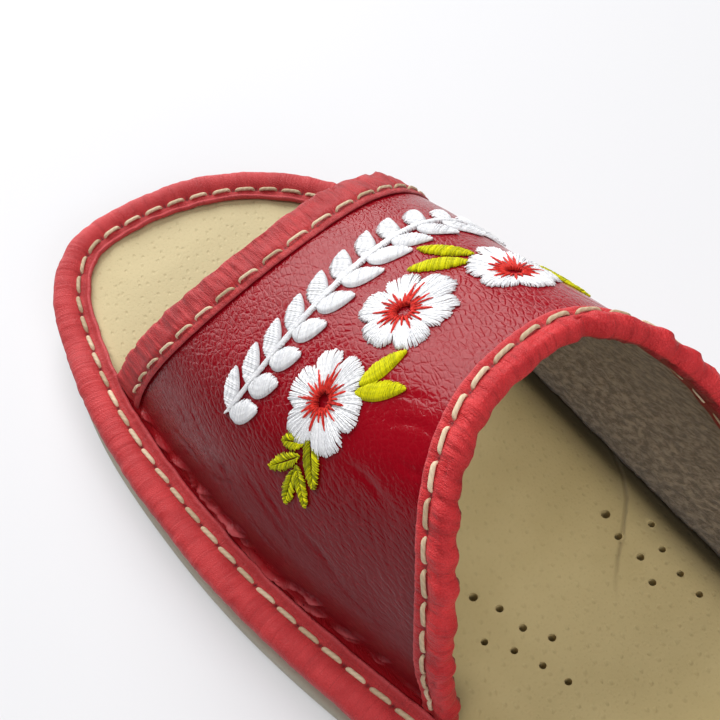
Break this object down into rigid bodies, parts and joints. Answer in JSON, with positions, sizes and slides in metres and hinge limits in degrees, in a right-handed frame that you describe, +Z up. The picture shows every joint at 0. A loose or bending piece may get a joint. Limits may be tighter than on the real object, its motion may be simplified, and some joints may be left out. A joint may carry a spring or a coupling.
{
  "type": "open-toe leather slipper",
  "caption": "Open-toe, open-back leather slipper: arched vamp with bound edges, lasted to a padded insole inside a stitched leather edge band, on a low rubber wedge sole.",
  "frame": {"origin": "centre of the bounding box at floor level", "axes": "+Z up, toe towards -Y, heel towards +Y, the wearer's inner side (big toe) towards +X"},
  "size_m": [0.0972, 0.2492, 0.0715],
  "materials": {
    "sole_rubber": "pale grey-beige foamed rubber, matte",
    "insole_leather": "cream pigskin with fine pores, matte",
    "band_leather": "soft red leather, half matte",
    "vamp_leather": "grained red leather, glossy, suede lining",
    "binding_leather": "gathered red leather, matte"
  },
  "bodies": {
    "root": {"outsole": "sole_rubber", "insole": "insole_leather", "edge_band": "band_leather", "vamp": "vamp_leather", "toe_binding": "binding_leather", "throat_binding": "binding_leather"}
  },
  "joints": []
}
